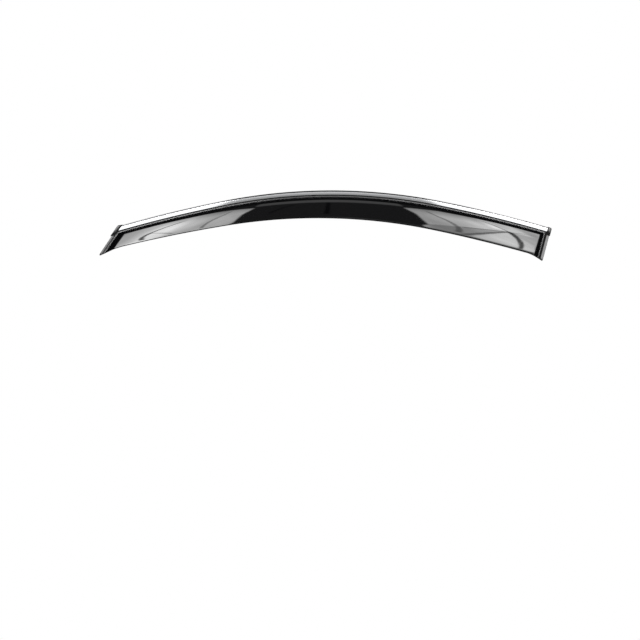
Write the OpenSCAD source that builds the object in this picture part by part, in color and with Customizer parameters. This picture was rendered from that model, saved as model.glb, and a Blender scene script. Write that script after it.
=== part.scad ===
// Window rain deflector for the left front door of a car. Millimetres. X runs rearwards along
// the door, Y into the car and Z up, and the origin is the middle of the adhesive face.
// Every piece is laid out flat first: x along the adhesive line, s down from the top edge and
// p outwards from the door frame. bend() then lays that flat pattern on the arched, bowed door.

/* [Arch and bow] */
// Adhesive line from the crest of the arch to the front end
front_reach = 485.5; // [380:0.5:600]
// Adhesive line from the crest of the arch to the rear end
rear_reach = 492.5; // [380:0.5:600]
// Radius of the arch round its crest
arch_mid_r = 1196; // [800:1:1600]
// Radius of the arch towards both ends
arch_end_r = 2790; // [1700:10:4000]
// Angle from the crest to where the end radius takes over
arch_mid_angle = 11.4; // [6:0.1:14]
// Lean of the arch's plane, which bows both ends back towards the car
bow_tilt = 16; // [4:0.5:24]

/* [Flange] */
// Wall thickness of the moulding
wall = 2.5; // [2:0.1:3.2]
// Width of the lip above the bright strip
lip_w = 1.5; // [1:0.1:2.5]
// Height of the lip above the channel floor
lip_h = 1.2; // [0.9:0.1:1.8]
// Width of the dark groove below the bright strip
groove_w = 1.1; // [0.8:0.1:2]
// Width of the bead that frames the shoulder
bead_w = 2.9; // [2:0.1:3.5]
// Height of the bead above the channel floor
bead_h = 1.2; // [0.9:0.1:1.8]
// Width of the land along both ends
land_w = 6; // [5:0.1:8]
// Height of the land above the channel floor
land_h = 0.6; // [0.2:0.1:0.9]
// Width of the groove between land and bead
end_groove_w = 1.8; // [1:0.1:3]
// Radius of the moulding's outer edges
edge_r = 0.7; // [0.3:0.1:0.9]
// Rounding of the lower rim in front, as a share of the wall
rim_share = 0.8; // [0.4:0.05:0.85]
// Draft of the small steps in the flange
draft = 0.15; // [0.05:0.05:0.3]

/* [Shoulder and blade] */
// Outward step from the bead to the top of the blade
shoulder_rise = 8.2; // [6.5:0.1:12]
// Steepness of the shoulder
shoulder_angle = 62; // [50:1:75]
// Hollow radius at the foot of the shoulder
shoulder_foot_r = 0.6; // [0.4:0.1:3]
// Round radius between shoulder and blade
shoulder_crown_r = 4; // [3.5:0.1:5]
// Outward slope of the blade at its top
blade_slope = 12; // [8:0.5:18]
// Radius of the blade's crown from top to bottom
blade_crown_r = 240; // [200:5:600]
// Depth below the top edge at the front tip, before its flare
depth_front = 44; // [38:0.1:60]
// Depth below the top edge at the crest of the arch
depth_mid = 62.1; // [50:0.1:80]
// Depth below the top edge at the rear end, before its flare
depth_rear = 68.2; // [50:0.1:85]

/* [Ends] */
// Rake of the front end, away from square to the arch
front_rake = 51; // [0:1:55]
// Rake of the rear end, away from square to the arch
rear_rake = 1; // [0:1:40]
// Steepness of both end walls
end_angle = 52; // [42:1:65]
// Hollow radius at the foot of the end walls
end_foot_r = 0.8; // [0.4:0.1:3]
// Round radius between end wall and blade
end_crown_r = 5; // [3.5:0.1:6]
// Extra depth at both lower tips
tip_flare = 7; // [0:0.1:10]
// Distance from the end over which that flare fades out
flare_run = 34; // [20:1:60]
// Corner radius of both lower tips
tip_r = 1.5; // [1:0.1:4]

/* [Bright strip] */
// Width of the bright strip
strip_w = 9.6; // [8:0.1:11]
// Metal thickness of the bright strip
strip_t = 0.5; // [0.3:0.05:0.6]
// Inner radius of its turned edges
strip_bend_r = 0.2; // [0.1:0.05:0.3]
// Height of its turned edges above the channel floor
strip_edge_h = 1.2; // [1.1:0.1:1.8]
// Height of its rounded face over those edges
strip_crown = 0.1; // [0.1:0.1:1.5]
// Clear gap between strip and lip
strip_gap = 0.3; // [0.2:0.05:0.5]

/* [End caps] */
// Wall thickness of the end caps
cap_wall = 0.8; // [0.6:0.1:1.2]
// Width of the end caps along the strip
cap_w = 5; // [4.8:0.1:7.5]
// Depth of the end caps below the top edge
cap_h = 17.5; // [16.5:0.5:22]
// Thickness of the caps' lower edge, where they slope down to the land
cap_toe = 0.5; // [0.3:0.1:0.8]
// Radius of the caps' outer corner
cap_corner_r = 4; // [2.5:0.1:5]
// How far the strip runs into each cap
cap_grip = 2.5; // [1.5:0.1:3]
// Fit clearance round the flange and the strip inside the caps
cap_clearance = 0.1; // [0.05:0.05:0.2]

/* [Adhesive] */
// Depth of the top tape's centre line below the top edge
tape_drop = 8; // [6.5:0.5:9]
// Thickness of the mounting tape
tape_t = 1.1; // [0.8:0.1:2]
// Width of the top tape
tape_w = 7; // [5:0.5:8]
// Width of the end tapes
end_tape_w = 6; // [4:0.5:6.5]
// Margin between the tapes and the flange's ends
tape_margin = 1.5; // [1:0.1:2]
// Gap between the top tape and the end tapes
tape_break = 2; // [1:0.5:6]
// Thickness of the peel-off liner
liner_t = 0.12; // [0.1:0.01:0.2]
// How far the liner runs past the tape, to be picked up and peeled
liner_tail = 1; // [0.5:0.5:6]
// How far the liner overhangs the tape's long edges
liner_overhang = 0.5; // [0:0.1:1]

/* [Hidden] */

// Room left where two bonded faces meet
bond_gap = 0.03;
// Segments of each small radius, of the shoulder's crown, down the blade, along the middle
// and across the bright strip
radius_steps = 3;
crown_steps = 4;
blade_steps = 6;
along_steps = 42;
strip_steps = 5;
FRONT = -1;
REAR = 1;

// Levels outwards from the door: the channel floor, then the blade's parts measured from it
floor_p = tape_t + wall;
strip_top = strip_edge_h + strip_crown;
cap_top = strip_top + cap_clearance + cap_wall;
// Places down the flange
strip_s = lip_w + strip_gap;
bead_s = strip_s + strip_w + groove_w;
flange_h = bead_s + bead_w;
// Places in from either end
end_bead_d = land_w + end_groove_w;
end_flange_w = end_bead_d + bead_w;
flange_corner_r = cap_corner_r - cap_wall - cap_clearance;
// Corners broken on the bead
bead_break = bead_h * 0.4;

// The arch: where its radius changes along the adhesive line, and the turn and centre there
mid_len = arch_mid_r * arch_mid_angle * PI / 180;
function on_mid(x) = abs(x) <= mid_len;
function arch_r(x) = on_mid(x) ? arch_mid_r : arch_end_r;
function arch_turn(x) = sign(x) * (on_mid(x) ? abs(x) / arch_mid_r * 180 / PI
    : arch_mid_angle + (abs(x) - mid_len) / arch_end_r * 180 / PI);
function arch_centre(x) = (arch_mid_r - arch_r(x))
    * [sign(x) * sin(arch_mid_angle), cos(arch_mid_angle)] - [0, arch_mid_r];

// A flat point [x, s, p] laid on the door
function bend(flat) = let(
    h = tape_drop - flat[1],
    out = h * cos(bow_tilt) + flat[2] * sin(bow_tilt),
    across = flat[2] * cos(bow_tilt) - h * sin(bow_tilt),
    turn = arch_turn(flat[0]),
    arch = arch_centre(flat[0]) + (arch_r(flat[0]) + out) * [sin(turn), cos(turn)])
    [arch[0], -arch[1] * sin(bow_tilt) - across * cos(bow_tilt),
     arch[1] * cos(bow_tilt) - across * sin(bow_tilt)];

// Stations are lines across the strip, [x at the top edge, x gained per unit of s]. At the ends
// they lie parallel to the raked end line at distance d, and in between they fan round.
function rake(side) = side == FRONT ? front_rake : rear_rake;
function end_x(side) = side * ((side == FRONT ? front_reach : rear_reach)
    - tape_drop * tan(rake(side)));
function station(side, d) = [end_x(side) - side * d / cos(rake(side)), side * tan(rake(side))];
function inset(side, st) = side * (end_x(side) - st[0]) * cos(rake(side));
function place(st, s, p) = [st[0] + st[1] * s, s, p];

// Depth of the lower edge: a smooth curve through three depths, flared at both tips
front_tip_x = end_x(FRONT) - depth_front * tan(front_rake);
function depth_at(x) = depth_mid * (1 - x / front_tip_x) * (1 - x / rear_reach)
    + depth_front * x * (x - rear_reach) / (front_tip_x * (front_tip_x - rear_reach))
    + depth_rear * x * (x - front_tip_x) / (rear_reach * (rear_reach - front_tip_x));
function flare(side, st) = tip_flare * pow(max(0, 1 - inset(side, st) / flare_run), 1.5);

// How much a rounded corner takes off a line at distance d from one of its sides
function corner_trim(r, angle, d) = d >= r * (1 + cos(angle)) ? 0
    : r / tan(angle / 2) - sqrt(max(0, r * r - pow(d - r, 2))) - d / tan(angle);
function tip_angle(side) = atan2(cos(rake(side)), sin(rake(side)) + 1.5 * tip_flare / flare_run);
function tip_trim(side, st) = corner_trim(tip_r, tip_angle(side), inset(side, st))
    * cos(rake(side));
function lower_s(st) = depth_at(st[0] + st[1] * depth_at(st[0]))
    + flare(FRONT, st) + flare(REAR, st) - tip_trim(FRONT, st) - tip_trim(REAR, st);
function upper_s(r, st) = corner_trim(r, 90 + front_rake, inset(FRONT, st)) * cos(front_rake)
    + corner_trim(r, 90 + rear_rake, inset(REAR, st)) * cos(rear_rake);

// A point on an arc, a being its slope there. Hollow arcs have r > 0 and round ones r < 0.
function arc_point(centre, r, a) = centre + r * [sin(a), -cos(a)];

// The section through shoulder and blade: foot, crown and blade arcs as [s, level over floor]
foot_c = [flange_h, bead_h + shoulder_foot_r];
shoulder_corner = [flange_h + shoulder_foot_r * tan(shoulder_angle / 2)
    + shoulder_rise / tan(shoulder_angle), bead_h + shoulder_rise];
crown_run = shoulder_crown_r * tan((shoulder_angle - blade_slope) / 2);
blade_start = shoulder_corner + crown_run * [cos(blade_slope), sin(blade_slope)];
crown_c = blade_start + shoulder_crown_r * [sin(blade_slope), -cos(blade_slope)];
blade_c = blade_start + blade_crown_r * [sin(blade_slope), -cos(blade_slope)];
// The back's foot has its own centre, because the bead is thicker than the wall
back_foot_c = [flange_h - bead_h / tan(shoulder_angle), shoulder_foot_r];
function foot_arc(c, off) = [for (i = [0:radius_steps])
    arc_point(c, shoulder_foot_r + off, shoulder_angle * i / radius_steps)];
function crown_arc(off) = [for (i = [0:crown_steps])
    arc_point(crown_c, off - shoulder_crown_r,
        shoulder_angle + (blade_slope - shoulder_angle) * i / crown_steps)];
function edge_slope(s) = asin((blade_c[0] - s) / blade_crown_r);
function blade_arc(off, slope) = [for (i = [1:blade_steps - 1])
    arc_point(blade_c, off - blade_crown_r,
        blade_slope + (slope - blade_slope) * i / blade_steps)];

// The end walls: the same kind of path, [d, share of the blade's full height]
end_rise = blade_c[1] + blade_crown_r * cos(blade_slope / 2) - bead_h;
end_crown_c = [end_flange_w + end_foot_r * tan(end_angle / 2) + end_rise / tan(end_angle)
    + end_crown_r * tan(end_angle / 2), end_rise - end_crown_r];
function scaled(path, top) = [for (q = path) [q[0], q[1] / top]];
front_wall = scaled(concat(
    [for (i = [0:radius_steps])
        arc_point([end_flange_w, end_foot_r], end_foot_r, end_angle * i / radius_steps)],
    [for (i = [crown_steps:-1:0])
        arc_point(end_crown_c, -end_crown_r, end_angle * i / crown_steps)]), end_rise);
back_wall = scaled(concat(
    [for (i = [0:radius_steps])
        arc_point([end_flange_w - bead_h / tan(end_angle), end_foot_r + wall],
            end_foot_r + wall, end_angle * i / radius_steps)],
    [for (i = [crown_steps:-1:0])
        arc_point(end_crown_c + [0, bead_h + wall], wall - end_crown_r,
            end_angle * i / crown_steps)]), end_rise + bead_h);

// The flange's own columns at either end, as [d, level of land, groove or bead]
function edge_drop(d) = d < edge_r ? edge_r - sqrt(edge_r * edge_r - pow(edge_r - d, 2)) : 0;
end_columns = concat(
    [for (i = [0:crown_steps]) let(d = flange_corner_r * (1 - cos(90 * i / crown_steps)))
        [d, land_h]],
    [[land_w, land_h], [land_w + draft, 0], [end_bead_d, 0],
     [end_bead_d + draft, bead_h - bead_break], [end_bead_d + bead_break, bead_h]]);

// A column of the moulding: [front station, back station, flange level, front share,
// back share, drop of the rounded end edge]
function end_zone(side) = concat(
    [for (c = end_columns) [station(side, c[0]), station(side, c[0]), c[1], 0, 0,
        edge_drop(c[0])]],
    [for (i = [0:len(front_wall) - 1]) [station(side, front_wall[i][0]),
        station(side, back_wall[i][0]), bead_h, front_wall[i][1], back_wall[i][1], 0]]);
function middle_stations(d) = let(a = station(FRONT, d), b = station(REAR, d))
    [for (i = [1:along_steps - 1]) a + (b - a) * i / along_steps];
function reversed(list) = [for (i = [len(list) - 1:-1:0]) list[i]];
columns = concat(end_zone(FRONT),
    [for (st = middle_stations(end_crown_c[0])) [st, st, bead_h, 1, 1, 0]],
    reversed(end_zone(REAR)));

// Rounded edges of the rim, from a sharp corner and the slope of the surface there
function rim_arc(corner, slope, into, r, steps) = let(
    along = [cos(slope), sin(slope)], up = [-sin(slope), cos(slope)],
    centre = corner - r * along - into * r * up, turn = 90 / steps)
    [for (i = [0:steps]) centre + r * (into * up * cos(turn * i) + along * sin(turn * i))];

// One closed section of the moulding, as [s, p], down the front and up the back
function squeeze(st, s) = let(top = upper_s(flange_corner_r, st))
    top + s * (flange_h - top) / flange_h;
function front_path(c) = let(
    st = c[0], level = c[2], share = c[3], base = floor_p - c[5],
    slope = edge_slope(lower_s(st)),
    edge = arc_point(blade_c, -blade_crown_r, slope),
    full = concat(foot_arc(foot_c, 0), crown_arc(0), blade_arc(0, slope)))
    concat(
        [for (i = [0:2]) [squeeze(st, edge_r * (1 - cos(45 * i))),
            base + lip_h - edge_r * (1 - sin(45 * i))]],
        [[squeeze(st, lip_w), base + lip_h], [squeeze(st, lip_w + draft), base],
         [squeeze(st, bead_s), base],
         [squeeze(st, bead_s + draft), base + level * (1 - bead_break / bead_h)],
         [squeeze(st, bead_s + bead_break), base + level]],
        [for (q = full) [q[0], base + level + (q[1] - bead_h) * share]],
        rim_arc([edge[0], base + level + (edge[1] - bead_h) * share], slope * share, 1,
            wall * rim_share, 5));
function back_path(c) = let(
    st = c[1], share = c[4], slope = edge_slope(lower_s(st)),
    edge = arc_point(blade_c, wall - blade_crown_r, slope),
    full = concat(foot_arc(back_foot_c, wall), crown_arc(wall), blade_arc(wall, slope)))
    concat([[upper_s(flange_corner_r, st), tape_t]],
        [for (q = full) [q[0], tape_t + (q[1] + wall) * share]],
        reversed(rim_arc([edge[0], tape_t + (edge[1] + wall) * share], slope * share, -1,
            wall * (0.96 - rim_share), 2)));
function visor_ring(c) = concat([for (q = front_path(c)) place(c[0], q[0], q[1])],
    [for (q = reversed(back_path(c))) place(c[1], q[0], q[1])]);

// A solid through a row of closed rings of flat points, bent onto the door
module skin(rings) {
    n = len(rings[0]);
    last = len(rings) - 1;
    polyhedron(
        points = [for (ring = rings) each [for (q = ring) bend(q)]],
        faces = concat(
            [[for (i = [0:n - 1]) i]],
            [for (j = [0:last - 1]) each [for (i = [0:n - 1]) each let(k = (i + 1) % n)
                [[j * n + k, j * n + i, (j + 1) * n + i],
                 [(j + 1) * n + k, j * n + k, (j + 1) * n + i]]]],
            [[for (i = [n - 1:-1:0]) last * n + i]]));
}

// A strip of constant section [s, p] along the flange, from d1 at the front to d2 at the rear
module along_flange(section, d1, d2) {
    blade_d = end_crown_c[0];
    stations = concat([station(FRONT, d1), station(FRONT, blade_d)], middle_stations(blade_d),
        [station(REAR, blade_d), station(REAR, d2)]);
    skin([for (st = stations) [for (q = section) place(st, q[0], q[1])]]);
}

// The bright strip's face, its turned edges and, at an offset, its inside: [s, p]
strip_edge_r = strip_bend_r + strip_t;
strip_half = strip_w / 2 - strip_edge_r;
strip_face_r = (pow(strip_half, 2) + pow(strip_crown + strip_edge_r, 2) - pow(strip_edge_r, 2))
    / (2 * strip_crown);
strip_face_angle = asin(strip_half / (strip_face_r - strip_edge_r));
function strip_face(off) = let(
    mid = strip_s + strip_w / 2, foot = floor_p + bond_gap,
    centre = [mid, floor_p + strip_top - strip_face_r],
    shoulder_p = floor_p + strip_edge_h - strip_edge_r)
    concat([[strip_s + off, foot], [strip_s + off, shoulder_p]],
        [for (i = [0:strip_steps])
            let(a = strip_face_angle * (2 * i / strip_steps - 1))
            centre + (strip_face_r - off) * [sin(a), cos(a)]],
        [[strip_s + strip_w - off, shoulder_p], [strip_s + strip_w - off, foot]]);

module visor() {
    color([0.05, 0.05, 0.06]) skin([for (c = columns) visor_ring(c)]);
}

module bright_strip() {
    end_d = cap_w - cap_grip;
    color([0.85, 0.86, 0.88])
        along_flange(concat(strip_face(0), reversed(strip_face(strip_t))), end_d, end_d);
}

module strip_tape() {
    end_d = cap_w - cap_grip + 1;
    color([0.25, 0.25, 0.25]) along_flange(strip_face(strip_t + bond_gap), end_d, end_d);
}

// A block over one corner of the flange: section [s, p] from d1 to d2, its corner rounded by r
module corner_block(side, section, d1, d2, r) {
    rings = [for (i = [0:crown_steps + 1])
        let(d = i > crown_steps ? d2 - d1 : r * (1 - cos(90 * i / crown_steps)),
            st = station(side, d1 + d),
            top = section[0][0] + corner_trim(r, 90 + rake(side), d) * cos(rake(side)))
        [for (q = section) place(st, max(q[0], top), q[1])]];
    skin(side == FRONT ? rings : reversed(rings));
}

// A cap seats over the end of the flange and the strip, open at the back and towards the strip
module end_cap(side) {
    past = 1;
    top_p = floor_p + cap_top;
    slope_s = strip_s + strip_w + cap_clearance;
    outer = cap_wall + cap_clearance;
    strip_end_d = cap_w - cap_grip - cap_clearance;
    color([0.12, 0.12, 0.12]) difference() {
        corner_block(side, [[-outer, tape_t], [-outer, top_p - cap_wall],
            [cap_wall - outer, top_p], [slope_s, top_p],
            [cap_h, floor_p + land_h + cap_clearance + cap_toe], [cap_h, tape_t]],
            -outer, cap_w, cap_corner_r);
        corner_block(side, [[-cap_clearance, tape_t - past],
            [-cap_clearance, floor_p + lip_h + cap_clearance],
            [bead_s, floor_p + lip_h + cap_clearance],
            [bead_s + draft, floor_p + land_h + cap_clearance],
            [cap_h + past, floor_p + land_h + cap_clearance], [cap_h + past, tape_t - past]],
            -cap_clearance, cap_w + past, flange_corner_r + cap_clearance);
        skin([for (d = side == FRONT ? [strip_end_d, cap_w + past] : [cap_w + past, strip_end_d])
            [for (q = [[strip_s - cap_clearance, floor_p], [strip_s - cap_clearance,
                floor_p + strip_top + cap_clearance], [slope_s, floor_p + strip_top
                + cap_clearance], [slope_s, floor_p]]) place(station(side, d), q[0], q[1])]]);
    }
}

module front_end_cap() end_cap(FRONT);
module rear_end_cap() end_cap(REAR);

// A flat band behind the top flange, grown by so much at its long edges and at its ends
module top_band(p1, p2, widen, lengthen) {
    half = tape_w / 2 + widen;
    along_flange([[tape_drop - half, p1], [tape_drop - half, p2], [tape_drop + half, p2],
        [tape_drop + half, p1]], tape_margin - lengthen, tape_margin - lengthen);
}

// A flat band behind an end flange, cut square at both ends
module end_band(side, p1, p2, widen, lengthen) {
    d1 = tape_margin - widen;
    d2 = tape_margin + end_tape_w + widen;
    lean = rake(side);
    function at(d, t) = place(station(side, d), t * cos(lean) + d * sin(lean), 0);
    start_t = (tape_drop + tape_w / 2 + tape_break - tape_margin * sin(lean)) / cos(lean);
    inner = tape_margin + end_tape_w;
    end_t = (lower_s(station(side, inner)) - inner * sin(lean)) / cos(lean) - tape_margin
        + lengthen;
    steps = 8;
    rings = [for (i = [0:steps]) let(t = start_t + (end_t - start_t) * i / steps,
        a = at(d1, t), b = at(d2, t))
        [[a[0], a[1], p1], [a[0], a[1], p2], [b[0], b[1], p2], [b[0], b[1], p1]]];
    skin(side == REAR ? rings : reversed(rings));
}

tape_colour = [0.22, 0.22, 0.22];
liner_colour = [0.75, 0.1, 0.08];

module top_tape() color(tape_colour) top_band(0, tape_t - bond_gap, 0, 0);
module front_end_tape() color(tape_colour) end_band(FRONT, 0, tape_t - bond_gap, 0, 0);
module rear_end_tape() color(tape_colour) end_band(REAR, 0, tape_t - bond_gap, 0, 0);
module top_liner() color(liner_colour)
    top_band(-bond_gap - liner_t, -bond_gap, liner_overhang, liner_tail);
module front_end_liner() color(liner_colour)
    end_band(FRONT, -bond_gap - liner_t, -bond_gap, liner_overhang, liner_tail);
module rear_end_liner() color(liner_colour)
    end_band(REAR, -bond_gap - liner_t, -bond_gap, liner_overhang, liner_tail);

visor();
bright_strip();
strip_tape();
front_end_cap();
rear_end_cap();
top_tape();
front_end_tape();
rear_end_tape();
top_liner();
front_end_liner();
rear_end_liner();
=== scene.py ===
# %% [markdown]
# # A window rain deflector, dressed in Blender
# The deflector is one smoked moulding that sits over a car's side window, with a bright metal
# strip in a channel along its top flange, a small cap over each end of the strip, and tape
# behind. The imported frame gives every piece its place. This file gives the pieces their finish.

import math

import bmesh
import bpy
import numpy as np
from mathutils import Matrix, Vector


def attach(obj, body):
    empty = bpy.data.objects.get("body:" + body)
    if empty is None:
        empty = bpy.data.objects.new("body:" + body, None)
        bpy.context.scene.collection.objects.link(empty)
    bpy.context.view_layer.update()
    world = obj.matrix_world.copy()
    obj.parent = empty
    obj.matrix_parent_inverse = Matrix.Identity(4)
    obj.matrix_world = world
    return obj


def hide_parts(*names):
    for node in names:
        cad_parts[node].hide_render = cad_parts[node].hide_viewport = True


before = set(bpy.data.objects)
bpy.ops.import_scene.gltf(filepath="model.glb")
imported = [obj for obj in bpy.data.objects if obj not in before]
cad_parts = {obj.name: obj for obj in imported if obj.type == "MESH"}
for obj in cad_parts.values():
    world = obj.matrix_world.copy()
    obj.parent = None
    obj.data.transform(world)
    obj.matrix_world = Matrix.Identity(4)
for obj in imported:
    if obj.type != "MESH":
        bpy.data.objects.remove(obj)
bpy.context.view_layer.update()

# %% [markdown]
# ## The sizes
# The part is drawn flat: x along the adhesive line, s down from the top edge, p outwards from
# the door frame and d inwards from a raked end. The sizes are written here in metres, and each
# piece is bent onto the arched door at its end. Lip, strip, grooves and end walls follow the
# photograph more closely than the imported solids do.

# %% Driving sizes
mm = 0.001
SIDES = FRONT, REAR = -1, 1

FRONT_REACH, REAR_REACH = 485.5 * mm, 492.5 * mm
ARCH_MID_R, ARCH_END_R = 1196 * mm, 2790 * mm
ARCH_MID_ANGLE = math.radians(11.4)
BOW_TILT = math.radians(16)

WALL = 2.5 * mm
LIP_W, LIP_H = 1.9 * mm, 1.2 * mm
GROOVE_W = 1.6 * mm
BEAD_W, BEAD_H, BEAD_TILT = 3 * mm, 1.2 * mm, 0.2 * mm
LAND_W, END_GROOVE_W = {FRONT: 3.8 * mm, REAR: 6 * mm}, {FRONT: 1.8 * mm, REAR: 4 * mm}
LAND_H = 0.6 * mm
LAND_TILT, LAND_CROWN = 0.18 * mm, 0.075 * mm
EDGE_R = 0.35 * mm
RIM_SHARE, RIM_BOTH, RIM_STRETCH = 0.8, 0.96, 1.8
DRAFT = 0.15 * mm

SHOULDER_RISE, SHOULDER_ANGLE = 8.2 * mm, math.radians(56.3)
SHOULDER_FOOT_R, SHOULDER_CROWN_R = 0.2 * mm, 4 * mm
BLADE_SLOPE, BLADE_CROWN_R = math.radians(12), 240 * mm
DEPTH_FRONT, DEPTH_MID, DEPTH_REAR = 44 * mm, 62.1 * mm, 68.2 * mm

RAKE = {FRONT: math.radians(51), REAR: math.radians(1)}
END_ANGLE = {FRONT: math.radians(46.5), REAR: math.radians(56)}
END_FOOT_R, END_CROWN_R = 0.4 * mm, 5 * mm
WALL_LEAN, LEAN_PIVOT = {FRONT: 0.0, REAR: -0.068}, 40 * mm
TIP_FLARE, FLARE_RUN, FLARE_POWER, TIP_R = 7 * mm, 34 * mm, 1.5, 1.5 * mm

STRIP_W, STRIP_T, STRIP_BEND_R, STRIP_BREAK = 7.4 * mm, 0.5 * mm, 0.2 * mm, 0.35 * mm
STRIP_EDGE_H, STRIP_CROWN, STRIP_GAP = 1.2 * mm, 0.03 * mm, 0.3 * mm

CAP_WALL, CAP_W, CAP_BREAK = 0.8 * mm, 5 * mm, 0.3 * mm
CAP_CORNER_R, CAP_GRIP, CAP_CLEARANCE = 4 * mm, 2.5 * mm, 0.1 * mm

TAPE_DROP, TAPE_T, TAPE_W, END_TAPE_W = 8 * mm, 1.1 * mm, 7 * mm, 6 * mm
TAPE_MARGIN, TAPE_BREAK, BOND_GAP = 1.5 * mm, 2 * mm, 0.03 * mm
LINER_T, LINER_TAIL, LINER_OVERHANG = 0.12 * mm, 1 * mm, 0.5 * mm

# Strip and tapes are made this much too long, and their raked ends are cut afterwards
OVERRUN = 20 * mm
SMOOTH_BELOW = math.radians(35)

# %% Sizes worked out from them
FLOOR_P = TAPE_T + WALL
STRIP_TOP = STRIP_EDGE_H + STRIP_CROWN
STRIP_S = LIP_W + STRIP_GAP
BEAD_S = STRIP_S + STRIP_W + GROOVE_W
FLANGE_H = BEAD_S + BEAD_W
END_BEAD_D = {side: LAND_W[side] + END_GROOVE_W[side] for side in SIDES}
END_FLANGE_W = {side: END_BEAD_D[side] + BEAD_W for side in SIDES}
FLANGE_CORNER_R = CAP_CORNER_R - CAP_WALL - CAP_CLEARANCE
BEAD_BREAK, BEAD_EASE = BEAD_H * 0.4, 0.9
MID_LEN = ARCH_MID_R * ARCH_MID_ANGLE
print("Top flange", round(FLANGE_H / mm, 2), "mm high")

# %% [markdown]
# ## Small helpers for modelling
# Operators act on whatever is selected, and the frame arrives selected, so each step starts by
# clearing the selection. Edit mode is entered only for the few lines that need it.


# %% Selecting and editing
def pick(piece):
    """Selects only this object and makes it active."""
    bpy.ops.object.select_all(action="DESELECT")
    piece.select_set(True)
    bpy.context.view_layer.objects.active = piece


def choose(piece, kind, rule):
    """In edit mode, selects the faces, edges or verts for which the rule holds."""
    bpy.ops.mesh.select_mode(type={"verts": "VERT", "edges": "EDGE", "faces": "FACE"}[kind])
    bpy.ops.mesh.select_all(action="DESELECT")
    mesh = bmesh.from_edit_mesh(piece.data)
    chosen = [part for part in getattr(mesh, kind) if rule(part)]
    for part in chosen:
        part.select_set(True)
    mesh.select_flush_mode()
    bmesh.update_edit_mesh(piece.data)
    return len(chosen)


def apply_modifier(piece, kind, **settings):
    """Adds one modifier, sets it and applies it."""
    pick(piece)
    modifier = piece.modifiers.new(kind.lower(), kind)
    for name, value in settings.items():
        setattr(modifier, name, value)
    bpy.ops.object.modifier_apply(modifier=modifier.name)


def freeze(piece):
    """Moves a piece's place, turn and scale into its mesh."""
    pick(piece)
    bpy.ops.object.transform_apply(location=True, rotation=True, scale=True)


def smooth(piece, below=SMOOTH_BELOW):
    """Shades a piece smooth, with sharp edges kept where it turns by more than that."""
    pick(piece)
    bpy.ops.object.shade_smooth_by_angle(angle=below)


# %% [markdown]
# ## Bending the flat pattern
# The adhesive line is one plane curve: a tighter arc over the middle of the door and a flatter
# one towards each end. Its plane leans by 16 degrees, and that lean is what bows the ends back
# towards the car. A Curve modifier follows such a line exactly, so a piece is turned by the
# lean, bent along the curve, and stood up. Four Bezier points are enough: a handle of
# 4/3 tan(angle/4) times the radius gives a true arc.


# %% The arch as a curve
END_LEN = 360 * mm
HALF_LEN = MID_LEN + END_LEN


def arch_point(x):
    """The point and the direction of the arch in its own plane, at x along it."""
    reach = abs(x)
    side = -1 if x < 0 else 1
    if reach <= MID_LEN:
        turn, radius = reach / ARCH_MID_R, ARCH_MID_R
    else:
        turn, radius = ARCH_MID_ANGLE + (reach - MID_LEN) / ARCH_END_R, ARCH_END_R
    spread = ARCH_MID_R - radius
    across = spread * math.sin(ARCH_MID_ANGLE) + radius * math.sin(turn)
    up = spread * math.cos(ARCH_MID_ANGLE) - ARCH_MID_R + radius * math.cos(turn)
    return Vector((side * across, up, 0)), Vector((math.cos(turn), -side * math.sin(turn), 0))


def handle(radius, angle):
    """The length of a Bezier handle whose curve is a true arc of that angle."""
    return 4 / 3 * math.tan(angle / 4) * radius


bpy.ops.object.select_all(action="DESELECT")
bpy.ops.curve.primitive_bezier_curve_add()
arch = bpy.context.object
arch.name = "arch_line"
arch.data.dimensions = "2D"
arch.data.resolution_u = 256
arch_points = arch.data.splines[0].bezier_points
arch_points.add(2)
end_handle = handle(ARCH_END_R, END_LEN / ARCH_END_R)
mid_handle = handle(ARCH_MID_R, 2 * ARCH_MID_ANGLE)
for point, x, before, after in zip(
        arch_points, (-HALF_LEN, -MID_LEN, MID_LEN, HALF_LEN),
        (end_handle, end_handle, mid_handle, end_handle),
        (end_handle, mid_handle, end_handle, end_handle)):
    place, along = arch_point(x)
    point.handle_left_type = point.handle_right_type = "FREE"
    point.co = place
    point.handle_left = place - along * before
    point.handle_right = place + along * after


def bend_onto_door(piece):
    """Bends a flat piece (x along, y up, z outwards from the door) along the arch."""
    freeze(piece)
    piece.rotation_euler = (-BOW_TILT, 0, 0)
    piece.location = (HALF_LEN, 0, 0)
    freeze(piece)
    apply_modifier(piece, "CURVE", object=arch, deform_axis="POS_X")
    piece.rotation_euler = (math.pi / 2 + BOW_TILT, 0, 0)
    freeze(piece)


# %% [markdown]
# ## Shader arithmetic
# A finish is easier to read as a formula than as a picture of nodes. `Signal` wraps an output
# socket and overloads the operators, and `Finish.node` adds any node: its settings first, then
# the values or links of its inputs, in order, by name or by index.


# %% Signals and finishes
class Signal:
    """A number or colour that travels between nodes and can be used in Python arithmetic."""

    def __init__(self, finish, socket):
        self.finish = finish
        self.socket = socket

    def maths(self, operation, *values):
        return self.finish.node("ShaderNodeMath", {"operation": operation}, *values)

    def __add__(self, other):
        return self.maths("ADD", self, other)

    __radd__ = __add__

    def __sub__(self, other):
        return self.maths("SUBTRACT", self, other)

    def __rsub__(self, other):
        return self.maths("SUBTRACT", other, self)

    def __mul__(self, other):
        return self.maths("MULTIPLY", self, other)

    __rmul__ = __mul__

    def __truediv__(self, other):
        return self.maths("DIVIDE", self, other)

    def __abs__(self):
        return self.maths("ABSOLUTE", self)

    def at_least(self, low):
        return self.maths("MAXIMUM", self, low)

    def above(self, low, high):
        """A soft step: 0 below low, 1 above high."""
        return self.finish.node("ShaderNodeMapRange", {"interpolation_type": "SMOOTHSTEP"},
                                Value=self, **{"From Min": low, "From Max": high})


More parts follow.
